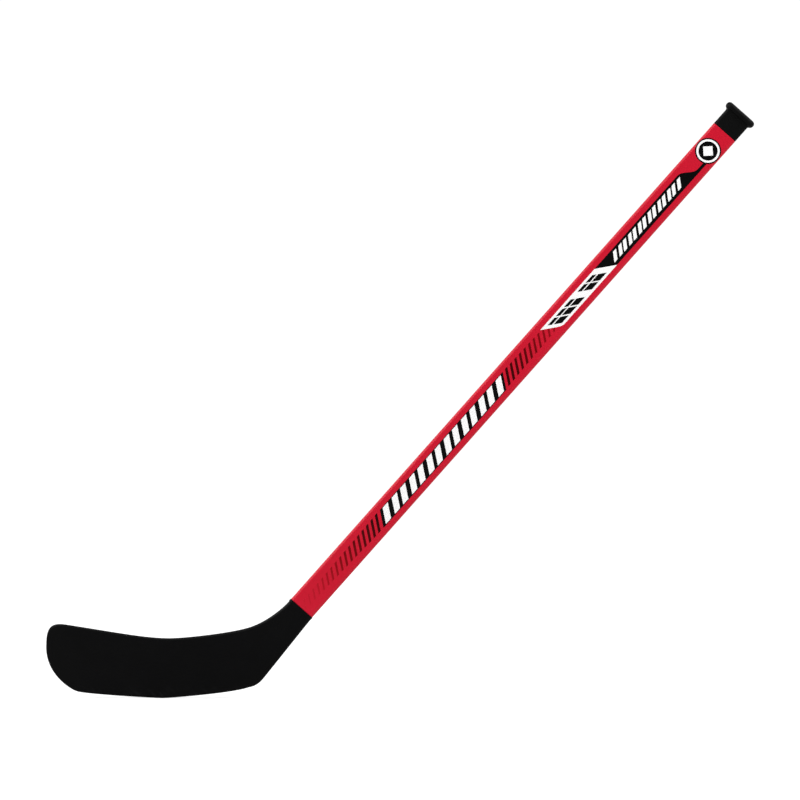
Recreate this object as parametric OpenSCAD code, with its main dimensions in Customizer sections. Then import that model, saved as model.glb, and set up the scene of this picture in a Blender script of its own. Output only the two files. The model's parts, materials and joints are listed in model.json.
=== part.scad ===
// Small one-piece-blade ice hockey stick: hollow rectangular shaft, moulded blade with a
// tenon glued into the shaft, flanged butt cap and printed artwork on both wide faces.
//
// Frame: the stick stands in its playing pose with the blade's rocker on z = 0.
// The origin is where the shaft's centreline meets that plane. +X runs towards the butt,
// +Y towards the forehand side and +Z up.

/* [Shaft] */
// Width of the shaft between its two narrow edges
shaft_w = 25.7; // [24.5:0.1:28]
// Depth of the shaft between its two wide faces
shaft_d = 16.5; // [15:0.1:19]
// Radius along the shaft's four long edges
shaft_r = 3; // [2.6:0.1:3.4]
// Wall thickness of the shaft's tube
shaft_wall = 2; // [1.6:0.1:2.2]
// Distance along the centreline from the origin to the tube's lower end
shaft_start = 110; // [110:0.5:112]
// Length of the tube
shaft_len = 582; // [580:0.2:620]
// Angle between the shaft's centreline and the ice
lie_angle = 48.37; // [47.8:0.01:49]

/* [Blade] */
// Horizontal reach from the origin to the tip of the toe
toe_reach = 160.9; // [152:0.1:170]
// Thickness of the blade near the toe
toe_t = 5.6; // [5:0.1:6.5]
// Thickness of the blade at the heel, where the hosel begins
heel_t = 8.6; // [8:0.1:10]
// Radius of the blade's top, bottom and toe edges
blade_edge_r = 2.3; // [1.8:0.1:2.4]
// Sideways bow of the toe towards the forehand side
toe_bow = 9; // [0:0.5:14]
// Opening of the forehand face at the toe, in degrees
face_opening = 4; // [0:0.5:8]
// Length of the tenon inside the shaft
tenon_len = 45; // [38:1:60]
// Thickness of the glue film around the tenon and around the cap's plug
glue_gap = 0.3; // [0.25:0.05:0.4]

/* [Butt cap] */
// Length of the cap's body between the tube and the lip
cap_body_len = 18; // [14:0.1:24]
// Overhang of the lip past the shaft's sides
lip_overhang = 3.1; // [2:0.1:3.5]
// Radius of the lip's half-round edge
lip_r = 3.3; // [2.6:0.1:3.9]
// Length of the plug inside the shaft
plug_len = 30; // [26:1:45]

/* [Artwork] */
// Thickness of one printed layer
film = 0.08; // [0.06:0.01:0.12]
// Radius of the roundel
roundel_r = 11.9; // [10.5:0.1:12]
// Number of bars below the long band
lower_bars = 17; // [8:1:17]
// Number of bars above the long band
upper_bars = 11; // [6:1:11]
// Number of white blocks in the long band
band_blocks = 7; // [5:1:9]

/* [Hidden] */
$fn = 48;
overlap = 0.5;

// Shaft and its hollow
bore_w = shaft_w - 2 * shaft_wall;
bore_d = shaft_d - 2 * shaft_wall;
bore_r = shaft_r - shaft_wall;
shaft_end = shaft_start + shaft_len;

// Collar at the top of the hosel: each step is [share of its length, share of its height]
collar_proud = 0.5;
collar_len = 3;
hosel_top = shaft_start - collar_len;
collar_steps = [[0.1, 0.6], [0.3, 0.92], [0.5, 1], [0.75, 1], [0.92, 0.8], [1, 0.4]];

// Tenon: a rounded bar with two glue grooves, cored from its free end. Its outside steps
// are [distance from the joint, depth below its full size], in pairs
tenon_w = bore_w - 2 * glue_gap;
tenon_d = bore_d - 2 * glue_gap;
tenon_r = bore_r - glue_gap;
tenon_wall = 2;
tenon_floor = 4;
groove = 0.7;
tenon_steps = [
    [0, 0], [12, 0],
    [12, groove], [15, groove],
    [15, 0], [30, 0],
    [30, groove], [33, groove],
    [33, 0], [tenon_len, 0]
];

// Butt cap: a flush body with a half-round lip, and a cored plug
lip_w = shaft_w + 2 * lip_overhang;
lip_d = shaft_d + 2 * lip_overhang;
cap_end = shaft_end + cap_body_len + 2 * lip_r;
plug_wall = 2.2;
plug_lead = 1;

// Outline of the blade, as knots on its upper and lower edges from the toe to the hosel.
// Each knot is [x, z, heading in degrees, handle before it, handle after it], and
// each pair of neighbours is joined by one cubic curve.
top_front = centreline_point(hosel_top, -shaft_w / 2);
back_flare = 0.3;
top_back = centreline_point(hosel_top, shaft_w / 2 + back_flare);
back_heading = lie_angle + 2.7;
upper_knots = [
    [-160.5, 46, 90, 0, 16.2],
    [-142.4, 67.2, -8.7, 16.1, 45.3],
    [-48, 54.8, 0, 22, 15],
    [26, 65, 18.8, 16, 6.8],
    [42.8, 73.2, 32.6, 5.8, 13.4],
    [top_front[0], top_front[1], lie_angle, 1.5, 0]
];
lower_knots = [
    [-160.5, 46, -90, 0, 23.5],
    [-132.9, 6.1, -20.3, 8, 8],
    [-54, 0, 0, 6, 6],
    [24, 9.6, 19, 16, 3],
    [38.8, 18.7, back_heading, 11, 15],
    [top_back[0], top_back[1], back_heading, 15, 0]
];
// Stations along each of those curves: the toe's are packed towards its tip
station_counts = [14, 13, 11, 6, 10];
toe_first = 0.05;
toe_x_drawn = 160.5;
heel_x = 26;
bow_start_x = 5;
corner_steps = 6;

// Artwork, placed by distance s along the centreline and t across the wide face
bar_slope = 0.745;
bar_w = 3;
bar_pitch = 6.24;
band_start = 220.1;
band_end = 388.9;
band_t = [-6.2, 7.1];
band_margin = [3.6, 3];
block_t = [-5.6, 6.4];
block_gap = 4.4;
block_slit = 5.4;
lower_first = band_start - 5.4 - (lower_bars - 1) * bar_pitch;
lower_t_first = [-3.7, 3.2];
lower_t_last = [-6.4, 7.1];
upper_first = band_end + 4.8;
upper_t_first = [-6.3, 6.5];
upper_t_last = [-5, 4.6];
panel_t = [-5.9, 6.9];
panel_lean = 1.28;
panel_corner = 3.6;
size_start = 452.4;
name_start = 527.2;
name_end = 633.4;
name_tail = 650.5;
sweep_handle = 6.5;
tail_t = 4;
roundel_s = shaft_start + 559;
ring_outer = roundel_r - 1.2;
ring_inner = roundel_r - 3.1;
diamond_w = 8.6;

// Size panel's marks: groups of [start, number of blocks, pitch, width of one block]
size_groups = [[457.2, 3, 11.2, 9.3], [498.2, 2, 11.1, 9.4]];
size_block_t = [-3.7, 4.6];
size_split_t = -0.7;
size_split_w = 0.9;

// Name panel's marks: pairs of strokes
name_block_first = 539.3;
name_block_pitch = 13.4;
name_block_count = 7;
name_stroke_w = 4.2;
name_slit = 3;
name_block_lean = 0.85;
name_block_t = [-3.7, 3.9];

// ---------- placing ----------

// Point [x, z] at distance s along the centreline and t across it, towards the back edge
function centreline_point(s, t) = [
    s * cos(lie_angle) + t * sin(lie_angle),
    s * sin(lie_angle) - t * cos(lie_angle)
];

// Turns local Z onto the shaft's centreline and local X onto t
module on_shaft(s = 0) {
    rotate([0, 90 - lie_angle, 0]) translate([0, 0, s]) children();
}

// Prints a flat outline drawn in (t, s) on wide face 0 (front) or 1 (back), on a layer
module on_face(side, layer) {
    on_shaft() rotate([0, 0, 180 * side]) translate([0, -shaft_d / 2 - layer * film, 0])
        rotate([90, 0, 0]) linear_extrude(film) children();
}

// ---------- shared shapes ----------

// Rectangle with true round corners
module rounded_rect(w, d, r) {
    square([w - 2 * r, d], center = true);
    square([w, d - 2 * r], center = true);
    for (x = [-1, 1], y = [-1, 1])
        translate([x * (w / 2 - r), y * (d / 2 - r)]) circle(r);
}

module bar(w, d, r, length) {
    linear_extrude(length) rounded_rect(w, d, r);
}

// Slab from z = 0 to z = 2 * edge_r whose rim is a half-round of radius edge_r
module half_round_slab(w, d, corner_r, edge_r) {
    run_x = w - 2 * corner_r;
    run_y = d - 2 * corner_r;
    linear_extrude(2 * edge_r) square([run_x, run_y], center = true);
    for (k = [0:3]) {
        half_x = (k % 2 == 0 ? run_x : run_y) / 2;
        half_y = (k % 2 == 0 ? run_y : run_x) / 2;
        rotate([0, 0, 90 * k]) translate([half_x, half_y, edge_r]) {
            rotate_extrude(angle = 90) half_round_profile(corner_r - edge_r, edge_r);
            rotate([90, 0, 0]) linear_extrude(2 * half_y)
                half_round_profile(corner_r - edge_r, edge_r);
        }
    }
}

module half_round_profile(reach, edge_r) {
    translate([0, -edge_r]) square([reach, 2 * edge_r]);
    translate([reach, 0]) intersection() {
        circle(edge_r);
        translate([0, -2 * edge_r]) square(4 * edge_r);
    }
}

// ---------- blade loft ----------

function heading(a) = [cos(a), sin(a)];

function cubic(p, q, r, s, u) =
    pow(1 - u, 3) * p + 3 * pow(1 - u, 2) * u * q + 3 * (1 - u) * u * u * r + pow(u, 3) * s;

// Point at u between two knots
function edge_point(a, b, u) = cubic(
    [a[0], a[1]],
    [a[0], a[1]] + a[4] * heading(a[2]),
    [b[0], b[1]] - b[3] * heading(b[2]),
    [b[0], b[1]],
    u
);

function smooth(u) = u * u * (3 - 2 * u);

// Stretches the part of the blade on the toe's side of the origin to the stated reach
function reached(p) = [p[0] < 0 ? p[0] * toe_reach / toe_x_drawn : p[0], p[1]];

// Stations as [upper point, lower point]: the toe's curve starts just past its tip
stations = [
    for (k = [0:len(station_counts) - 1], i = [(k == 0 ? 0 : 1):station_counts[k]])
        let (
            share = i / station_counts[k],
            u = k == 0 ? toe_first + (1 - toe_first) * share * (0.35 + 0.65 * share) : share
        )
        [
            reached(edge_point(upper_knots[k], upper_knots[k + 1], u)),
            reached(edge_point(lower_knots[k], lower_knots[k + 1], u))
        ]
];

function along(p) = p[0] * cos(lie_angle) + p[1] * sin(lie_angle);

hosel_from = along([heel_x, 36]);

function hosel_share(c) = max(0, min(1, (along(c) - hosel_from) / (hosel_top - hosel_from)));

// Thickness: slowly from toe to heel, then up to the shaft's depth over the hosel
function thickness_at(c) =
    let (
        on_blade = (c[0] + toe_reach) / (heel_x + toe_reach),
        on_hosel = hosel_share(c)
    )
    on_hosel > 0
        ? heel_t + (shaft_d - heel_t) * smooth(on_hosel)
        : toe_t + (heel_t - toe_t) * pow(min(1, max(0, on_blade)), 2);

// The toe's end narrows like the other edges, by the same radius
function toe_relief(c) =
    let (d = c[0] + toe_reach)
    d < blade_edge_r ? blade_edge_r - sqrt(pow(blade_edge_r, 2) - pow(blade_edge_r - d, 2)) : 0;

function bow_share(x) = x < bow_start_x ? pow((bow_start_x - x) / (bow_start_x + toe_reach), 2) : 0;

// Rounded rectangle of half sizes a (up the section) by b (through it)
function section(a, b, r) = [
    for (q = [0:3], i = [0:corner_steps])
        let (ang = 90 * q + 90 * i / corner_steps)
        [
            (q == 0 || q == 3 ? 1 : -1) * (a - r) + r * cos(ang),
            (q < 2 ? 1 : -1) * (b - r) + r * sin(ang)
        ]
];

// Ring of the loft on a section from its lower point to its upper point
function ring(upper, lower, half_t, r, bow, lean) =
    let (
        c = (upper + lower) / 2,
        span = norm(upper - lower),
        up = (upper - lower) / span
    )
    [
        for (p = section(span / 2, half_t, min(r, 0.96 * half_t, 0.48 * span)))
            [c[0] + p[0] * up[0], p[1] + bow - lean * p[0], c[1] + p[0] * up[1]]
    ];

function blade_ring(st) =
    let (
        c = (st[0] + st[1]) / 2,
        r = blade_edge_r + (shaft_r - blade_edge_r) * hosel_share(c),
        share = bow_share(c[0])
    )
    ring(st[0], st[1], thickness_at(c) / 2 - toe_relief(c), r,
        toe_bow * share, tan(face_opening) * share);

function collar_ring(step) =
    let (
        s = hosel_top + step[0] * collar_len,
        proud = step[1] * collar_proud,
        t = shaft_w / 2 + proud
    )
    ring(centreline_point(s, -t), centreline_point(s, t), shaft_d / 2 + proud,
        shaft_r + proud, 0, 0);

function tenon_ring(z, depth) =
    let (t = tenon_w / 2 - depth)
    ring(centreline_point(shaft_start + z, -t), centreline_point(shaft_start + z, t),
        tenon_d / 2 - depth, tenon_r, 0, 0);

module loft(rings) {
    n = len(rings[0]);
    last = len(rings) - 1;
    polyhedron(
        points = [for (r = rings, p = r) p],
        faces = concat(
            [[for (j = [0:n - 1]) n - 1 - j]],
            [[for (j = [0:n - 1]) last * n + j]],
            [for (i = [0:last - 1], j = [0:n - 1])
                let (k = (j + 1) % n)
                [i * n + j, i * n + k, (i + 1) * n + k, (i + 1) * n + j]]
        ),
        convexity = 4
    );
}

// ---------- pieces ----------

module shaft() {
    color("#c92033") on_shaft(shaft_start) difference() {
        bar(shaft_w, shaft_d, shaft_r, shaft_len);
        translate([0, 0, -overlap]) bar(bore_w, bore_d, bore_r, shaft_len + 2 * overlap);
    }
}

module blade() {
    color("#101011") loft(concat(
        [for (st = stations) blade_ring(st)],
        [for (step = collar_steps) collar_ring(step)],
        [for (step = tenon_steps) tenon_ring(step[0], step[1])],
        [for (z = [tenon_len, tenon_floor]) tenon_ring(z, tenon_wall)]
    ));
}

// Outside of the tenon
module tenon_bar() {
    for (i = [0:2:len(tenon_steps) - 2]) {
        z = tenon_steps[i][0];
        depth = tenon_steps[i][1];
        translate([0, 0, z])
            bar(tenon_w - 2 * depth, tenon_d - 2 * depth, tenon_r, tenon_steps[i + 1][0] - z);
    }
}

module blade_adhesive() {
    color("#d8c9a0") on_shaft(shaft_start) difference() {
        bar(bore_w, bore_d, bore_r, tenon_len);
        tenon_bar();
    }
}

module butt_cap() {
    color("#0c0c0d") on_shaft(shaft_end) difference() {
        union() {
            bar(shaft_w, shaft_d, shaft_r, cap_body_len + lip_r);
            translate([0, 0, cap_body_len])
                half_round_slab(lip_w, lip_d, shaft_r + lip_overhang, lip_r);
            translate([0, 0, plug_lead - plug_len])
                bar(tenon_w, tenon_d, tenon_r, plug_len);
            translate([0, 0, -plug_len])
                bar(tenon_w - 2 * tenon_r, tenon_d - 2 * tenon_r, tenon_r, plug_len);
        }
        translate([0, 0, -plug_len - overlap])
            bar(tenon_w - 2 * plug_wall, tenon_d - 2 * plug_wall, tenon_r,
                plug_len + cap_body_len - 4);
    }
}

module butt_adhesive() {
    glue_len = plug_len - 2 * plug_lead;
    color("#d8c9a0") on_shaft(shaft_end - glue_len) difference() {
        bar(bore_w, bore_d, bore_r, glue_len);
        translate([0, 0, -overlap]) bar(tenon_w, tenon_d, tenon_r, glue_len + 2 * overlap);
    }
}

// ---------- artwork outlines, drawn as (t, s) ----------

// Parallelogram across the shaft between t = ts[0] and ts[1]; its middle line crosses
// t = 0 at s0 and falls back by slope for each unit of t
module slanted(s0, width, ts, slope) {
    polygon([
        [ts[0], s0 - slope * ts[0]],
        [ts[1], s0 - slope * ts[1]],
        [ts[1], s0 - slope * ts[1] + width],
        [ts[0], s0 - slope * ts[0] + width]
    ]);
}

module bars(count, first, t_first, t_last) {
    for (i = [0:count - 1])
        slanted(first + i * bar_pitch - bar_w / 2, bar_w,
            t_first + (t_last - t_first) * i / (count - 1), bar_slope);
}

// Pairs of equal strokes with a slit between the two
module stroke_pairs(count, first, pitch, stroke_w, slit, ts, slope) {
    for (i = [0:count - 1], k = [0, 1])
        slanted(first + i * pitch + k * (stroke_w + slit), stroke_w, ts, slope);
}

module size_outline() {
    difference() {
        slanted(size_start, name_start - size_start, panel_t, -panel_lean);
        corner_cut();
    }
}

// Rounds off the size panel's sharp corner, where its slanted edge meets its lower edge
module corner_cut() {
    corner_s = size_start + panel_lean * panel_t[1];
    on_slant = [panel_t[1] - panel_corner, corner_s - panel_lean * panel_corner];
    on_edge = [panel_t[1], corner_s + panel_corner];
    polygon(concat(
        [for (i = [0:6]) cubic(
            on_slant, [panel_t[1] - panel_corner / 4, corner_s - panel_lean * panel_corner / 4],
            [panel_t[1], corner_s + panel_corner / 4], on_edge, i / 6)],
        [[panel_t[1] + overlap, on_edge[1]], [panel_t[1] + overlap, on_slant[1]]]
    ));
}

// Ground of the name panel: it sweeps down at its end into a tail that meets the roundel
module name_outline() {
    sweep = [
        for (i = [0:12]) cubic(
            [panel_t[0], name_end], [panel_t[0], name_end + sweep_handle],
            [tail_t, name_tail - sweep_handle], [tail_t, name_tail], i / 12)
    ];
    difference() {
        polygon(concat(
            [[panel_t[0], name_start + panel_lean * panel_t[0]]],
            sweep,
            [[tail_t, roundel_s], [panel_t[1], roundel_s]],
            [[panel_t[1], name_start + panel_lean * panel_t[1]]]
        ));
        translate([0, roundel_s]) circle(roundel_r);
    }
}

// ---------- artwork pieces; side 0 is the front and side 1 the back ----------

module lower_bars_print(side) {
    color("#5a1018") on_face(side, 0)
        bars(lower_bars, lower_first, lower_t_first, lower_t_last);
}

module upper_bars_print(side) {
    color("#5a1018") on_face(side, 0) difference() {
        bars(upper_bars, upper_first, upper_t_first, upper_t_last);
        size_outline();
    }
}

module band_ground(side) {
    color("#0a0a0a") on_face(side, 0)
        slanted(band_start, band_end - band_start, band_t, bar_slope);
}

module band_blocks_print(side) {
    first = band_start + band_margin[0];
    pitch = (band_end - band_margin[1] - first + block_gap) / band_blocks;
    stroke_w = (pitch - block_gap - block_slit) / 2;
    color("white") on_face(side, 1)
        stroke_pairs(band_blocks, first, pitch, stroke_w, block_slit, block_t, bar_slope);
}

module size_ground(side) {
    color("white") on_face(side, 0) size_outline();
}

module size_blocks_print(side) {
    rows = [
        [size_block_t[0], size_split_t - size_split_w / 2],
        [size_split_t + size_split_w / 2, size_block_t[1]]
    ];
    color("#0a0a0a") on_face(side, 1)
        for (g = size_groups, i = [0:g[1] - 1], row = rows)
            slanted(g[0] + i * g[2], g[3], row, -panel_lean);
}

module name_ground(side) {
    color("#0a0a0a") on_face(side, 0) name_outline();
}

module name_blocks_print(side) {
    color("white") on_face(side, 1)
        stroke_pairs(name_block_count, name_block_first, name_block_pitch, name_stroke_w,
            name_slit, name_block_t, name_block_lean);
}

// A printed layer that follows the shaft's wide face round onto its corners
module wrapped(side, layer) {
    lift = layer * film;
    on_shaft() rotate([0, 0, 180 * side]) intersection() {
        translate([0, 0, roundel_s - 2 * roundel_r]) difference() {
            bar(shaft_w + 2 * lift + 2 * film, shaft_d + 2 * lift + 2 * film,
                shaft_r + lift + film, 4 * roundel_r);
            translate([0, 0, -overlap]) bar(shaft_w + 2 * lift, shaft_d + 2 * lift,
                shaft_r + lift, 4 * roundel_r + 2 * overlap);
        }
        translate([0, 0, roundel_s]) rotate([90, 0, 0]) linear_extrude(shaft_d) children();
    }
}

module roundel_ground(side) {
    color("#0a0a0a") wrapped(side, 0) circle(roundel_r);
}

// White ring round a plain diamond
module roundel_motif(side) {
    color("white") wrapped(side, 1) {
        difference() {
            circle(ring_outer);
            circle(ring_inner);
        }
        rotate(45) square(diamond_w, center = true);
    }
}

shaft();
blade();
blade_adhesive();
butt_cap();
butt_adhesive();
lower_bars_print(0);  // front_lower_bars
band_ground(0);  // front_band_ground
band_blocks_print(0);  // front_band_blocks
upper_bars_print(0);  // front_upper_bars
size_ground(0);  // front_size_ground
size_blocks_print(0);  // front_size_blocks
name_ground(0);  // front_name_ground
name_blocks_print(0);  // front_name_blocks
roundel_ground(0);  // front_roundel_ground
roundel_motif(0);  // front_roundel_motif
lower_bars_print(1);  // back_lower_bars
band_ground(1);  // back_band_ground
band_blocks_print(1);  // back_band_blocks
upper_bars_print(1);  // back_upper_bars
size_ground(1);  // back_size_ground
size_blocks_print(1);  // back_size_blocks
name_ground(1);  // back_name_ground
name_blocks_print(1);  // back_name_blocks
roundel_ground(1);  // back_roundel_ground
roundel_motif(1);  // back_roundel_motif
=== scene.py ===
"""Looks of a small ice hockey stick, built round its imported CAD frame.

The shaft, the blade and the butt cap are rebuilt as fine lofted meshes. The printed layers and the
glue stay as the CAD made them and get their materials here. Lengths are in metres.
"""

import json
import math

import bmesh
import bpy
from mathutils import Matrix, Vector


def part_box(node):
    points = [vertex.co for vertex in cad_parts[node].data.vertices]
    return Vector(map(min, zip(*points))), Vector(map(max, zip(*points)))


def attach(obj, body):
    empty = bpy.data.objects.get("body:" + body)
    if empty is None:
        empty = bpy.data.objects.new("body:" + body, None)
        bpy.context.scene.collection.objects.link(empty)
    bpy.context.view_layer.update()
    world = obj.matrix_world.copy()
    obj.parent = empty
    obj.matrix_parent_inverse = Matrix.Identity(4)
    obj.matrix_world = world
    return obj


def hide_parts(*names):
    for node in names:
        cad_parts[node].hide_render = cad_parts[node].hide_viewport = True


MM = 0.001

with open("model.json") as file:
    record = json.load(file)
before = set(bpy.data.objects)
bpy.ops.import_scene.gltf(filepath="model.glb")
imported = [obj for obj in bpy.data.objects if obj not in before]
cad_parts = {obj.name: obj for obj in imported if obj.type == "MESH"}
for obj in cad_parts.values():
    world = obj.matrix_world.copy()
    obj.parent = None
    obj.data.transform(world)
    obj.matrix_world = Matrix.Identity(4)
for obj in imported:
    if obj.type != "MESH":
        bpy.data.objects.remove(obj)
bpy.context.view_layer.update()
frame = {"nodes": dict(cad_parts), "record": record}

# ---------- measures read from the frame ----------

MOUNTS = {m["name"]: m for m in frame["record"]["mounts"]}
ALONG = Vector(MOUNTS["butt_face"]["axis"]).normalized()
ACROSS = Vector((ALONG.z, 0, -ALONG.x))
LIE = math.atan2(ALONG.z, ALONG.x)
FRONT_EDGE = Vector(MOUNTS["front_edge_face"]["pos_m"])
BACK_EDGE = Vector(MOUNTS["back_edge_face"]["pos_m"])
SHAFT_W = (BACK_EDGE - FRONT_EDGE).length


def reach(node):
    """Least and greatest distance of a CAD node along the shaft's centreline."""
    distances = [v.co.dot(ALONG) for v in frame["nodes"][node].data.vertices]
    return min(distances), max(distances)


SHAFT_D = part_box("shaft")[1].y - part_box("shaft")[0].y
SHAFT_FROM, SHAFT_TO = reach("shaft")
CAP_END = reach("butt_cap")[1]
TENON_END = reach("blade")[1]
PLUG_START = reach("butt_cap")[0]
TOE_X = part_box("blade")[0].x

# ---------- the design's own measures ----------

# Shaft: corner radius and wall, as in the CAD, and the break on the edges of its two ends
SHAFT_R = 3 * MM
SHAFT_WALL = 2 * MM
EDGE_BREAK = 0.35 * MM
# Tenon and plug: they fill the bore but for the glue
GLUE = 0.3 * MM
TENON_W = SHAFT_W - 2 * SHAFT_WALL - 2 * GLUE
TENON_D = SHAFT_D - 2 * SHAFT_WALL - 2 * GLUE
TENON_R = SHAFT_R - SHAFT_WALL - GLUE
# Butt cap: half-round lip, the fillet that leads into it, and the cored plug
LIP_R = 3.3 * MM
FILLET_R = 2 * MM
PLUG_WALL = 2.2 * MM
PLUG_LEAD = 1 * MM
CORE_FLOOR = 4 * MM
# Meshes: the narrow strip that keeps a flat flat beside a round, and the least sharp angle
HOLD = 0.2 * MM
SHARP_ANGLE = math.radians(34)

# ---------- meshes ----------


def add_piece(name, mesh_maker, node, material):
    """Makes a piece from a bmesh, shades it smooth up to sharp edges, and rides it on the stick."""
    bm = bmesh.new()
    mesh_maker(bm)
    bmesh.ops.recalc_face_normals(bm, faces=bm.faces)
    mesh = bpy.data.meshes.new(name)
    bm.to_mesh(mesh)
    bm.free()
    mesh.shade_smooth()
    mesh.set_sharp_from_angle(angle=SHARP_ANGLE)
    mesh.materials.append(material)
    piece = bpy.data.objects.new(name, mesh)
    bpy.context.scene.collection.objects.link(piece)
    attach(piece, "root")
    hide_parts(node)


def skin(bm, rings, loop=False):
    """Quads between neighbouring rings, and either a cap on each end or a joined loop."""
    rows = [[bm.verts.new(p) for p in ring] for ring in rings]
    pairs = list(zip(rows, rows[1:]))
    if loop:
        pairs.append((rows[-1], rows[0]))
    else:
        bm.faces.new(rows[0])
        bm.faces.new(rows[-1])
    for low, high in pairs:
        for j in range(len(low)):
            k = (j + 1) % len(low)
            bm.faces.new((low[j], low[k], high[k], high[j]))


def straight_shares(length, side_steps):
    """Divisions of a straight side, with one close to each end so that the flat shades flat."""
    hold = HOLD / length
    return [hold] + [i / side_steps for i in range(1, side_steps)] + [1 - hold]


def corner_points(a, b, r, steps, side_steps):
    """Rounded rectangle of half sizes a and b, with side_steps divisions on each straight."""
    arcs = []
    for quarter, (sign_a, sign_b) in enumerate([(1, 1), (-1, 1), (-1, -1), (1, -1)]):
        angles = [math.radians(90) * (quarter + i / steps) for i in range(steps + 1)]
        x, y = sign_a * (a - r), sign_b * (b - r)
        arcs.append([(x + r * math.cos(q), y + r * math.sin(q)) for q in angles])
    points = []
    for arc, next_arc in zip(arcs, arcs[1:] + arcs[:1]):
        start, end = arc[-1], next_arc[0]
        points += arc
        for share in straight_shares(math.dist(start, end), side_steps):
            points.append(tuple(p + (q - p) * share for p, q in zip(start, end)))
    return points


def shaft_ring(s, w, d, r, steps=10, side_steps=3):
    """Rounded rectangle round the centreline at distance s: w across, d through the stick."""
    return [
        ALONG * s + ACROSS * t + Vector((0, y, 0))
        for t, y in corner_points(w / 2, d / 2, r, steps, side_steps)
    ]


def bar_ring(s, grow=0.0):
    """Ring of the shaft's own section, grown or shrunk all round."""
    return shaft_ring(s, SHAFT_W + 2 * grow, SHAFT_D + 2 * grow, SHAFT_R + grow)


def make_shaft(bm):
    """Tube with broken edges at both ends."""
    divisions = 24
    start, end = SHAFT_FROM + EDGE_BREAK, SHAFT_TO - EDGE_BREAK
    outer = [bar_ring(start + (end - start) * i / divisions) for i in range(divisions + 1)]
    lead_in = [bar_ring(SHAFT_FROM, -SHAFT_WALL), bar_ring(SHAFT_FROM, -EDGE_BREAK)]
    lead_out = [bar_ring(SHAFT_TO, -EDGE_BREAK), bar_ring(SHAFT_TO, -SHAFT_WALL)]
    skin(bm, lead_in + outer + lead_out, loop=True)


# ---------- blade, worked out in millimetres ----------

# Half sizes and corner radius of the shaft's section
HALF_W = SHAFT_W / MM / 2
HALF_D = SHAFT_D / MM / 2
CORNER_R = SHAFT_R / MM
# Thickness at the toe and at the heel, and the radius of the edges
TOE_T = 5.6
HEEL_T = 8.6
EDGE_R = 2.3
# Sideways bow from its start to the toe, and how far the face opens at the toe
TOE_BOW = 9.0
FACE_OPENING = math.radians(4)
BOW_START = 5.0
# Middle of the section where the hosel begins
HEEL_X = 26.0
HEEL_Z = 36.0
# Toe's reach, and its reach as the knots are drawn
TOE_REACH = -TOE_X / MM
TOE_DRAWN = 160.5
# Toe's sections: the share of its curve where they start, and their spacing there against an even
# one
TOE_FIRST = 0.02
TOE_PACKING = 0.25
# Moulding seam round the edges: height and width of its ridge, and the least section that has it
RIDGE = 0.14
RIDGE_W = 0.5
RIDGE_SPAN = 8.0
# Narrow strip that keeps the blade's faces flat beside their rounds
FACE_HOLD = 0.3
# Collar at the top of the hosel: each step is (share of its length, share of its height)
COLLAR_LEN = 3.0
COLLAR_PROUD = 0.5
COLLAR_STEPS = [(0.1, 0.6), (0.3, 0.92), (0.5, 1.0), (0.9, 1.0), (1.0, 0.85)]
# Tenon: each glue groove is (start, end) from the joint, and the core leaves a wall and a floor
GROOVES = [(12, 15), (30, 33)]
GROOVE = 0.7
TENON_WALL = 2.0
TENON_FLOOR = 4.0
# Back of the hosel: how far it stands past the shaft, and its heading
BACK_FLARE = 0.3
HOSEL_TOP = SHAFT_FROM / MM - COLLAR_LEN
BACK_HEADING = math.degrees(LIE) + 2.7


def centreline_point(s, t):
    """[x, z] at distance s along the centreline and t across it, in millimetres."""
    return Vector((s * math.cos(LIE) + t * math.sin(LIE), s * math.sin(LIE) - t * math.cos(LIE)))


# Knots of the blade's two edges from the toe to the hosel, in millimetres, as in the CAD:
# (x, z, heading in degrees, handle before, handle after)
HOSEL_FRONT = centreline_point(HOSEL_TOP, -HALF_W)
HOSEL_BACK = centreline_point(HOSEL_TOP, HALF_W + BACK_FLARE)
UPPER_KNOTS = [
    (-TOE_DRAWN, 46, 90, 0, 16.2),
    (-142.4, 67.2, -8.7, 16.1, 45.3),
    (-48, 54.8, 0, 22, 15),
    (26, 65, 18.8, 16, 6.8),
    (42.8, 73.2, 32.6, 5.8, 13.4),
    (*HOSEL_FRONT, math.degrees(LIE), 1.5, 0),
]
LOWER_KNOTS = [
    (-TOE_DRAWN, 46, -90, 0, 23.5),
    (-132.9, 6.1, -20.3, 8, 8),
    (-54, 0, 0, 6, 6),
    (24, 9.6, 19, 16, 3),
    (38.8, 18.7, BACK_HEADING, 11, 15),
    (*HOSEL_BACK, BACK_HEADING, 15, 0),
]
# Sections between each knot and the next
STATION_COUNTS = [36, 30, 26, 20, 26]


def heading(degrees):
    """Unit vector at an angle above the ice."""
    return Vector((math.cos(math.radians(degrees)), math.sin(math.radians(degrees))))


def edge_point(a, b, u):
    """Point at u on the cubic between two knots, stretched to the toe's reach past the origin."""
    p, s = Vector(a[:2]), Vector(b[:2])
    q, r = p + a[4] * heading(a[2]), s - b[3] * heading(b[2])
    v = 1 - u
    point = v**3 * p + 3 * v * v * u * q + 3 * v * u * u * r + u**3 * s
    if point.x < 0:
        point.x *= TOE_REACH / TOE_DRAWN
    return point


def stations():
    """Pairs of upper and lower edge points; the toe's are packed towards its tip."""
    for k, count in enumerate(STATION_COUNTS):
        for i in range(0 if k == 0 else 1, count + 1):
            u = i / count
            if k == 0:
                u *= TOE_PACKING + (1 - TOE_PACKING) * u
                u = TOE_FIRST + (1 - TOE_FIRST) * u
            upper = edge_point(UPPER_KNOTS[k], UPPER_KNOTS[k + 1], u)
            lower = edge_point(LOWER_KNOTS[k], LOWER_KNOTS[k + 1], u)
            yield upper, lower


def along(p):
    """Distance of a point [x, z] along the centreline."""
    return p.x * math.cos(LIE) + p.y * math.sin(LIE)


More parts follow.
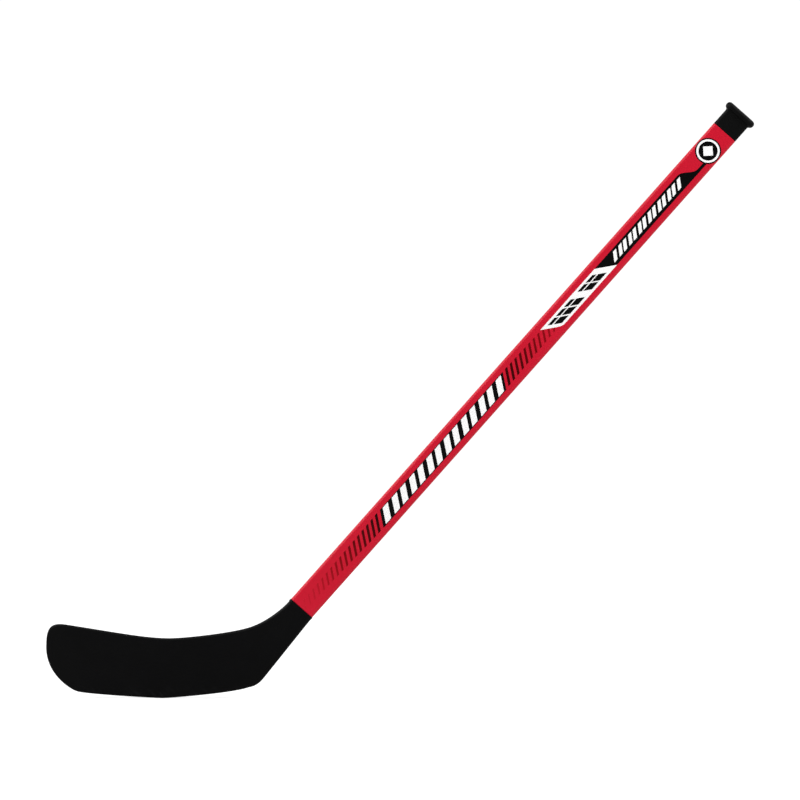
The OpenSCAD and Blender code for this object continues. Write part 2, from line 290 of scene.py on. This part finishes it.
HOSEL_FROM = along(Vector((HEEL_X, HEEL_Z)))


def hosel_share(c):
    """How far the middle of a section has risen up the hosel, from 0 to 1."""
    return max(0.0, min(1.0, (along(c) - HOSEL_FROM) / (HOSEL_TOP - HOSEL_FROM)))


def thickness(c):
    """Slowly thicker from toe to heel, then up to the shaft's depth over the hosel."""
    share = hosel_share(c)
    if share > 0:
        return HEEL_T + (2 * HALF_D - HEEL_T) * share * share * (3 - 2 * share)
    on_blade = min(1.0, max(0.0, (c.x + TOE_REACH) / (HEEL_X + TOE_REACH)))
    return TOE_T + (HEEL_T - TOE_T) * on_blade**2


def toe_relief(c):
    """How much the toe's end narrows on each side, to be as round as the other edges."""
    d = max(0.0, c.x + TOE_REACH)
    return EDGE_R - math.sqrt(EDGE_R**2 - (EDGE_R - d) ** 2) if d < EDGE_R else 0.0


def bow_share(x):
    """Share of the bow at x: none at its start, all of it at the toe."""
    return ((BOW_START - x) / (BOW_START + TOE_REACH)) ** 2 if x < BOW_START else 0.0


def blade_ring(upper, lower, half_t, r, bow=0.0, lean=0.0):
    """One closed ring of the blade in the frame's metres, with the seam's ridge at its two ends.

    The corner radius r shrinks where the section is thin, so that a little flat is always left.
    """
    c = (upper + lower) / 2
    span = (upper - lower).length
    up = (upper - lower) / span
    r = min(r, 0.96 * half_t, 0.48 * span)
    ridge = RIDGE if span > RIDGE_SPAN else 0.0
    ring = []
    for u, v in seamed_section(span / 2, half_t, r, ridge):
        ring.append(Vector((c.x + u * up.x, v + bow - lean * u, c.y + u * up.y)) * MM)
    return ring


def seamed_section(a, b, r, ridge):
    """Closed outline of half sizes a and b, starting on the seam at the upper edge."""
    arc_steps, face_steps = 8, 12
    top, flat = a - ridge, b - r
    half_w = min(RIDGE_W / 2, 0.5 * flat) if ridge else 0.5 * flat
    quarter = [(a, 0.0), (top, half_w)]
    run = top - r
    for i in range(arc_steps + 1):
        q = math.radians(90) * i / arc_steps
        quarter.append((run + r * math.cos(q), flat + r * math.sin(q)))
    face = [run - min(FACE_HOLD, 0.1 * run)]
    face += [run * (1 - 2 * i / face_steps) for i in range(1, face_steps)]
    face.append(-face[0])
    half = quarter + [(u, b) for u in face] + [(-u, v) for u, v in reversed(quarter)]
    return half + [(u, -v) for u, v in reversed(half[1:-1])]


def level_ring(s, half_w, half_d, r):
    """Ring square to the centreline at distance s."""
    return blade_ring(centreline_point(s, -half_w), centreline_point(s, half_w), half_d, r)


def collar_rings():
    """Out to the collar and back in to the joint with the tube."""
    for share, height in COLLAR_STEPS:
        proud = height * COLLAR_PROUD
        s = HOSEL_TOP + share * COLLAR_LEN
        yield level_ring(s, HALF_W + proud, HALF_D + proud, CORNER_R + proud)


def tenon_rings():
    """Down the outside of the tenon with its glue grooves, then back into its core."""
    start, end = SHAFT_FROM / MM, TENON_END / MM
    half_w, half_d = TENON_W / MM / 2, TENON_D / MM / 2
    steps = [(0, 0)]
    for near, far in GROOVES:
        steps += [(near, 0), (near, GROOVE), (far, GROOVE), (far, 0)]
    steps += [(end - start, 0), (end - start, TENON_WALL), (TENON_FLOOR, TENON_WALL)]
    for z, depth in steps:
        yield level_ring(start + z, half_w - depth, half_d - depth, TENON_R / MM)


def make_blade(bm):
    """One loft from the toe over the hosel and the collar to the end of the tenon and its core."""
    rings = []
    for upper, lower in stations():
        c = (upper + lower) / 2
        half_t = thickness(c) / 2 - toe_relief(c)
        r = EDGE_R + (CORNER_R - EDGE_R) * hosel_share(c)
        share = bow_share(c.x)
        bow, lean = TOE_BOW * share, math.tan(FACE_OPENING) * share
        rings.append(blade_ring(upper, lower, half_t, r, bow, lean))
    skin(bm, rings + list(collar_rings()) + list(tenon_rings()))


# ---------- butt cap ----------


def lip_rings():
    """Concave fillet out of the body, then the half-round lip down to the flat end."""
    fillet_steps, arc_steps = 8, 24
    overhang = (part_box("butt_cap")[1].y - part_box("butt_cap")[0].y - SHAFT_D) / 2
    lip_s, lip_grow = CAP_END - LIP_R, overhang - LIP_R
    apart = math.sqrt((LIP_R + FILLET_R) ** 2 - (FILLET_R - lip_grow) ** 2)
    meeting = math.atan2(lip_grow - FILLET_R, apart)
    for i in range(fillet_steps + 1):
        q = -math.pi / 2 + (meeting + math.pi / 2) * i / fillet_steps
        yield bar_ring(lip_s - apart + FILLET_R * math.cos(q), FILLET_R * (1 + math.sin(q)))
    for i in range(1, arc_steps + 1):
        q = (math.pi + meeting) * (1 - i / arc_steps)
        yield bar_ring(lip_s + LIP_R * math.cos(q), lip_grow + LIP_R * math.sin(q))


def make_cap(bm):
    """Cored plug, flush body and half-round lip, as one moulding."""
    core_floor = CAP_END - 2 * LIP_R - CORE_FLOOR

    def plug_ring(s, shrink=0.0):
        return shaft_ring(s, TENON_W - 2 * shrink, TENON_D - 2 * shrink, TENON_R)

    core = [plug_ring(core_floor, PLUG_WALL), plug_ring(PLUG_START, PLUG_WALL)]
    lead = [plug_ring(PLUG_START, TENON_R), plug_ring(PLUG_START + PLUG_LEAD)]
    body_start = SHAFT_TO + EDGE_BREAK
    joint = [plug_ring(SHAFT_TO), bar_ring(SHAFT_TO, -EDGE_BREAK), bar_ring(body_start)]
    skin(bm, core + lead + joint + [bar_ring(body_start + HOLD)] + list(lip_rings()))


# ---------- materials ----------


class Nodes:
    """Short helper for building a material's node tree."""

    def __init__(self, name):
        self.material = bpy.data.materials.new(name)
        self.material.use_nodes = True
        self.tree = self.material.node_tree
        self.bsdf = self.tree.nodes["Principled BSDF"]

    def add(self, kind, **settings):
        """New node; each setting is one of its own properties or the name of an input."""
        node = self.tree.nodes.new(kind)
        for key, value in settings.items():
            if hasattr(node, key):
                setattr(node, key, value)
            else:
                node.inputs[key].default_value = value
        return node

    def surface(self, **constants):
        """Sets constants of the surface, named as its inputs with _ for each space."""
        for key, value in constants.items():
            self.bsdf.inputs[key.replace("_", " ")].default_value = value

    def colour(self, source):
        self.link(source, self.bsdf.inputs["Base Color"])

    def roughness(self, scale, detail, low, high, stretch=(1, 1, 1)):
        """Roughness that clouds between two levels."""
        cloud = self.noise(scale, detail, stretch=stretch)
        self.link(self.spread(cloud, low, high), self.bsdf.inputs["Roughness"])

    def link(self, source, target):
        self.tree.links.new(source, target)

    def coordinates(self, stretch=(1, 1, 1)):
        """Object coordinates turned so that Z runs along the shaft, then scaled."""
        place = self.add("ShaderNodeTexCoord")
        turned = self.add("ShaderNodeMapping", vector_type="POINT")
        turned.inputs["Rotation"].default_value = (0, LIE - math.radians(90), 0)
        scaled = self.add("ShaderNodeMapping", vector_type="POINT")
        scaled.inputs["Scale"].default_value = stretch
        self.link(place.outputs["Object"], turned.inputs["Vector"])
        self.link(turned.outputs["Vector"], scaled.inputs["Vector"])
        return scaled.outputs["Vector"]

    def axes(self, vector):
        """The three coordinates of a vector, as the outputs X, Y and Z."""
        node = self.add("ShaderNodeSeparateXYZ")
        self.link(vector, node.inputs["Vector"])
        return node.outputs

    def noise(self, scale, detail=4.0, roughness=0.55, stretch=(1, 1, 1)):
        """Cloudy value from 0 to 1, with its coordinates stretched across, through and along."""
        node = self.add("ShaderNodeTexNoise", Scale=scale, Detail=detail, Roughness=roughness)
        self.link(self.coordinates(stretch), node.inputs["Vector"])
        return node.outputs["Fac"]

    def spread(self, source, low, high, from_low=0.0, from_high=1.0):
        """Spreads a value's range from_low to from_high over low to high, and holds it there."""
        node = self.add("ShaderNodeMapRange")
        node.inputs["From Min"].default_value = from_low
        node.inputs["From Max"].default_value = from_high
        node.inputs["To Min"].default_value = low
        node.inputs["To Max"].default_value = high
        self.link(source, node.inputs["Value"])
        return node.outputs["Result"]

    def mix(self, factor, a, b):
        """Mix of two colours, each a socket or a constant."""
        node = self.add("ShaderNodeMix", data_type="RGBA")
        socket_a, socket_b, result = node.inputs[6], node.inputs[7], node.outputs[2]
        self.link(factor, node.inputs[0])
        for socket, value in ((socket_a, a), (socket_b, b)):
            if isinstance(value, tuple):
                socket.default_value = value
            else:
                self.link(value, socket)
        return result

    def maths(self, operation, *values):
        """Result of an operation on values, each a socket or a number."""
        node = self.add("ShaderNodeMath", operation=operation)
        for socket, value in zip(node.inputs, values):
            if isinstance(value, bpy.types.NodeSocket):
                self.link(value, socket)
            else:
                socket.default_value = value
        return node.outputs[0]

    def bump(self, layers):
        """Chains (height socket, distance, strength) into one normal."""
        normal = None
        for height, distance, strength in layers:
            node = self.add("ShaderNodeBump")
            node.inputs["Distance"].default_value = distance
            node.inputs["Strength"].default_value = strength
            self.link(height, node.inputs["Height"])
            if normal:
                self.link(normal, node.inputs["Normal"])
            normal = node.outputs["Normal"]
        self.link(normal, self.bsdf.inputs["Normal"])


# Linear colours of the plastic, the inks, the rubber and the glue. Each pair is clouded together
RED = (0.562, 0.0095, 0.0285, 1)
RED_DEEP = (0.532, 0.0084, 0.025, 1)
INK_BLACK = (0.0016, 0.0016, 0.0017, 1)
INK_BLACK_THIN = (0.0032, 0.0024, 0.0026, 1)
INK_WHITE = (0.92, 0.92, 0.915, 1)
INK_WHITE_THIN = (0.87, 0.85, 0.85, 1)
BLADE_BLACK = (0.0014, 0.0014, 0.0015, 1)
BLADE_BLACK_WORN = (0.0028, 0.0028, 0.003, 1)
BLADE_RUBBED = (0.02, 0.02, 0.0215, 1)
RUBBER = (0.0013, 0.0013, 0.0013, 1)
RUBBER_DUSTY = (0.003, 0.003, 0.003, 1)
GLUE_DEEP = (0.66, 0.56, 0.34, 1)
GLUE_PALE = (0.74, 0.64, 0.42, 1)
# Display level of the red plastic in this light, out of 255
RED_LEVEL = 198
# Height above the ice over which the blade's lower edge is rubbed
RUBBED_HEIGHT = 12 * MM


def red_plastic():
    """Extruded gloss plastic: die lines along the tube, faint ripple, clear coat."""
    m = Nodes("shaft_red_plastic")
    m.colour(m.mix(m.spread(m.noise(14, detail=3), 0, 1, 0.35, 0.7), RED, RED_DEEP))
    m.roughness(90, 6, 0.24, 0.36, stretch=(1, 1, 0.12))
    m.surface(Coat_Weight=0.1, Coat_Roughness=0.16, Specular_IOR_Level=0.1)
    lines = m.noise(900, detail=2, stretch=(1, 1, 0.008))
    ripple = m.noise(160, detail=2, stretch=(1, 1, 0.25))
    m.bump([(lines, 0.00001, 0.4), (ripple, 0.00003, 0.3)])
    return m.material


def blade_plastic():
    """Black moulding: spark-eroded grain, flow marks, and light rubbing along its lower edge."""
    m = Nodes("blade_black_plastic")
    height = m.axes(m.add("ShaderNodeTexCoord").outputs["Object"])["Z"]
    low_edge = m.spread(height, 1, 0, 0, RUBBED_HEIGHT)
    patches = m.spread(m.noise(420, detail=5, stretch=(0.25, 1, 1)), 0, 0.5, 0.5, 0.75)
    black = m.mix(m.noise(30), BLADE_BLACK, BLADE_BLACK_WORN)
    m.colour(m.mix(m.maths("MULTIPLY", low_edge, patches), black, BLADE_RUBBED))
    m.roughness(60, 5, 0.34, 0.46)
    m.surface(Specular_IOR_Level=0.07)
    grain = m.noise(2600, detail=3, roughness=0.6)
    flow = m.noise(70, detail=3, stretch=(1, 1, 0.4))
    m.bump([(grain, 0.00005, 0.45), (flow, 0.0002, 0.15)])
    return m.material


def cap_rubber():
    """Soft matte rubber with a fine dusty grain."""
    m = Nodes("cap_black_rubber")
    m.colour(m.mix(m.noise(120, detail=6), RUBBER, RUBBER_DUSTY))
    m.roughness(300, 4, 0.46, 0.6)
    m.surface(Specular_IOR_Level=0.07)
    m.bump([(m.noise(1800, roughness=0.65), 0.00007, 0.5)])
    return m.material


def ink(name, thick, thin):
    """Screen ink: an even film whose cover varies a little, with a faint mesh texture."""
    m = Nodes(name)
    cover = m.noise(900, detail=5, roughness=0.7)
    m.colour(m.mix(m.spread(cover, 0, 1, 0.45, 0.8), thick, thin))
    m.roughness(220, 4, 0.26, 0.38)
    m.surface(Coat_Weight=0.1, Coat_Roughness=0.16, Specular_IOR_Level=0.1)
    m.bump([(m.noise(3200, detail=2), 0.00002, 0.35)])
    return m


# Printed bars, as in the CAD: their lean, width and pitch. The last is how soft the ink's edge is
BAR_SLOPE = 0.745
BAR_W = 3 * MM
BAR_PITCH = 6.24 * MM
BAR_FEATHER = 0.25 * MM


def to_linear(level):
    """Linear light of a display level from 0 to 255."""
    c = level / 255
    return c / 12.92 if c <= 0.04045 else ((c + 0.055) / 1.055) ** 2.4


def bar_ink(side, part, levels, bend, widths):
    """Black ink that is screened thinner and narrower over the red towards the faint end.

    levels are the ink's display levels at the node's start and end, and widths the bars' widths.
    """
    node = f"{side}_{part}_bars"
    m = ink(f"{side}_{part}_ink", INK_BLACK, INK_BLACK_THIN)
    slope = BAR_SLOPE if side == "front" else -BAR_SLOPE
    slanted = ALONG + slope * ACROSS
    first = min(v.co.dot(slanted) for v in frame["nodes"][node].data.vertices) + BAR_W / 2
    start, end = reach(node)

    place = m.axes(m.coordinates())
    share = m.spread(place["Z"], 0, 1, start, end)
    leaned = m.maths("MULTIPLY_ADD", place["X"], slope, place["Z"])
    off_middle = m.maths("PINGPONG", m.maths("SUBTRACT", leaned, first), BAR_PITCH / 2)
    half_width = m.spread(share, widths[0] / 2, widths[1] / 2)
    inside = m.maths("SUBTRACT", half_width, off_middle)
    cover = m.spread(inside, 0, 1, -BAR_FEATHER, BAR_FEATHER)

    ramp = m.add("ShaderNodeValToRGB")
    full = to_linear(RED_LEVEL)
    stops = 5
    while len(ramp.color_ramp.elements) < stops:
        ramp.color_ramp.elements.new(0.5)
    for i, element in enumerate(ramp.color_ramp.elements):
        position = i / (stops - 1)
        kept = to_linear(levels[0] + (levels[1] - levels[0]) * position**bend) / full
        element.position = position
        element.color = (RED[0] * kept, RED[1] * kept * kept, RED[2] * kept * kept, 1)
    m.link(share, ramp.inputs["Fac"])
    m.colour(m.mix(cover, RED, ramp.outputs["Color"]))
    return m.material


def glue():
    """Set hot-melt glue."""
    m = Nodes("set_glue")
    m.colour(m.mix(m.noise(200), GLUE_DEEP, GLUE_PALE))
    m.surface(Roughness=0.35)
    m.bump([(m.noise(600), 0.00005, 0.3)])
    return m.material


def dress(node, material):
    """Gives a CAD node its material."""
    mesh = frame["nodes"][node].data
    mesh.materials.clear()
    mesh.materials.append(material)


# ---------- stage ----------

# What the camera frames: the middle of the view, its width, and a long lens with its sensor in mm
VIEW_CENTRE = Vector((163.05 * MM, 0, 272.6 * MM))
VIEW_WIDTH = 731.5 * MM
LENS = 400
SENSOR = 36
# Brightness of the surroundings, as the camera sees them and as they light the stick
SKY_SEEN, SKY_LIGHT = 1.05, 0.05
# Floor's radius, and its glow to the camera: how bright near the origin and far from it, and the
# distances over which it rises
FLOOR_R = 9
GLOW_NEAR, GLOW_FAR = 0.55, 1.03
GLOW_FROM, GLOW_TO = 0.6, 4.5
# Lights: direction from the view's centre, distance, width and height in metres, and watts. Two
# broad ones stand at the sides of each wide face, well off its mirror angle, and one above
LIGHTS = {
    "key": ((-0.66, -0.42, 0.62), 3.4, 3.3, 3.3, 117),
    "fill": ((0.80, -0.42, 0.42), 3.4, 3.0, 3.0, 107),
    "top": ((0.05, -0.25, 0.97), 3.0, 2.8, 1.8, 28),
    "back_key": ((0.60, 0.45, 0.66), 3.4, 3.0, 3.0, 80),
    "back_fill": ((-0.80, 0.45, 0.40), 3.4, 2.8, 2.8, 62),
}


def when_seen(tree, seen, otherwise):
    """A level that the camera sees directly, and another for light that bounces off the object."""
    path = tree.nodes.new("ShaderNodeLightPath")
    level = tree.nodes.new("ShaderNodeMapRange")
    level.inputs["To Min"].default_value = otherwise
    level.inputs["To Max"].default_value = seen
    tree.links.new(path.outputs["Is Camera Ray"], level.inputs["Value"])
    return level.outputs["Result"]


def make_floor():
    """Pale floor for every view. To the camera it glows, more so away from the stick."""
    bm = bmesh.new()
    bmesh.ops.create_circle(bm, cap_ends=True, segments=96, radius=FLOOR_R)
    mesh = bpy.data.meshes.new("floor")
    bm.to_mesh(mesh)
    bm.free()
    floor = bpy.data.objects.new("floor", mesh)
    bpy.context.scene.collection.objects.link(floor)
    m = Nodes("floor_white")
    m.surface(Base_Color=(0.45, 0.45, 0.45, 1), Roughness=0.9, Specular_IOR_Level=0)
    m.surface(Emission_Color=(1, 1, 1, 1))
    distance = m.add("ShaderNodeVectorMath", operation="LENGTH")
    m.link(m.add("ShaderNodeTexCoord").outputs["Object"], distance.inputs[0])
    glow = m.spread(distance.outputs["Value"], GLOW_NEAR, GLOW_FAR, GLOW_FROM, GLOW_TO)
    seen = m.maths("MULTIPLY", glow, when_seen(m.tree, 1, 0))
    m.link(seen, m.bsdf.inputs["Emission Strength"])
    floor.data.materials.append(m.material)


def make_world():
    """White surroundings to the camera, dim as a light, so that black stays black."""
    world = bpy.data.worlds.new("studio")
    bpy.context.scene.world = world
    world.use_nodes = True
    background = world.node_tree.nodes["Background"]
    background.inputs["Color"].default_value = (1, 1, 1, 1)
    level = when_seen(world.node_tree, SKY_SEEN, SKY_LIGHT)
    world.node_tree.links.new(level, background.inputs["Strength"])


def make_light(name, direction, distance, width, height, power):
    """Rectangular light that faces the view's centre from a distance."""
    light = bpy.data.lights.new(name, "AREA")
    light.shape = "RECTANGLE"
    light.size, light.size_y = width, height
    light.energy = power
    lamp = bpy.data.objects.new(name, light)
    away = Vector(direction).normalized()
    lamp.location = VIEW_CENTRE + away * distance
    lamp.rotation_euler = away.to_track_quat("Z", "Y").to_euler()
    lamp.visible_camera = False
    bpy.context.scene.collection.objects.link(lamp)


def make_camera():
    """Square-on to the front face, level, on a long lens."""
    camera = bpy.data.cameras.new("camera")
    camera.lens = LENS
    camera.sensor_width = SENSOR
    camera.clip_start, camera.clip_end = 0.05, 60
    rig = bpy.data.objects.new("camera", camera)
    rig.location = VIEW_CENTRE - Vector((0, VIEW_WIDTH * LENS / SENSOR, 0))
    rig.rotation_euler = (math.radians(90), 0, 0)
    bpy.context.scene.collection.objects.link(rig)
    bpy.context.scene.camera = rig


# ---------- build ----------

make_camera()
make_world()
for light_name, settings in LIGHTS.items():
    make_light(light_name, *settings)
make_floor()
bpy.context.scene.view_settings.view_transform = "Standard"

add_piece("stick_shaft", make_shaft, "shaft", red_plastic())
add_piece("stick_blade", make_blade, "blade", blade_plastic())
add_piece("stick_cap", make_cap, "butt_cap", cap_rubber())

black_ink = ink("black_ink", INK_BLACK, INK_BLACK_THIN).material
white_ink = ink("white_ink", INK_WHITE, INK_WHITE_THIN).material
glue_material = glue()
for side in ("front", "back"):
    for node in ("band_ground", "size_blocks", "name_ground", "roundel_ground"):
        dress(f"{side}_{node}", black_ink)
    for node in ("band_blocks", "size_ground", "name_blocks", "roundel_motif"):
        dress(f"{side}_{node}", white_ink)
    dress(f"{side}_lower_bars", bar_ink(side, "lower", (196, 28), 1.25, (1.7 * MM, 3.4 * MM)))
    dress(f"{side}_upper_bars", bar_ink(side, "upper", (40, 146), 1, (3.4 * MM, 2.1 * MM)))
for node in ("blade_adhesive", "butt_adhesive"):
    dress(node, glue_material)
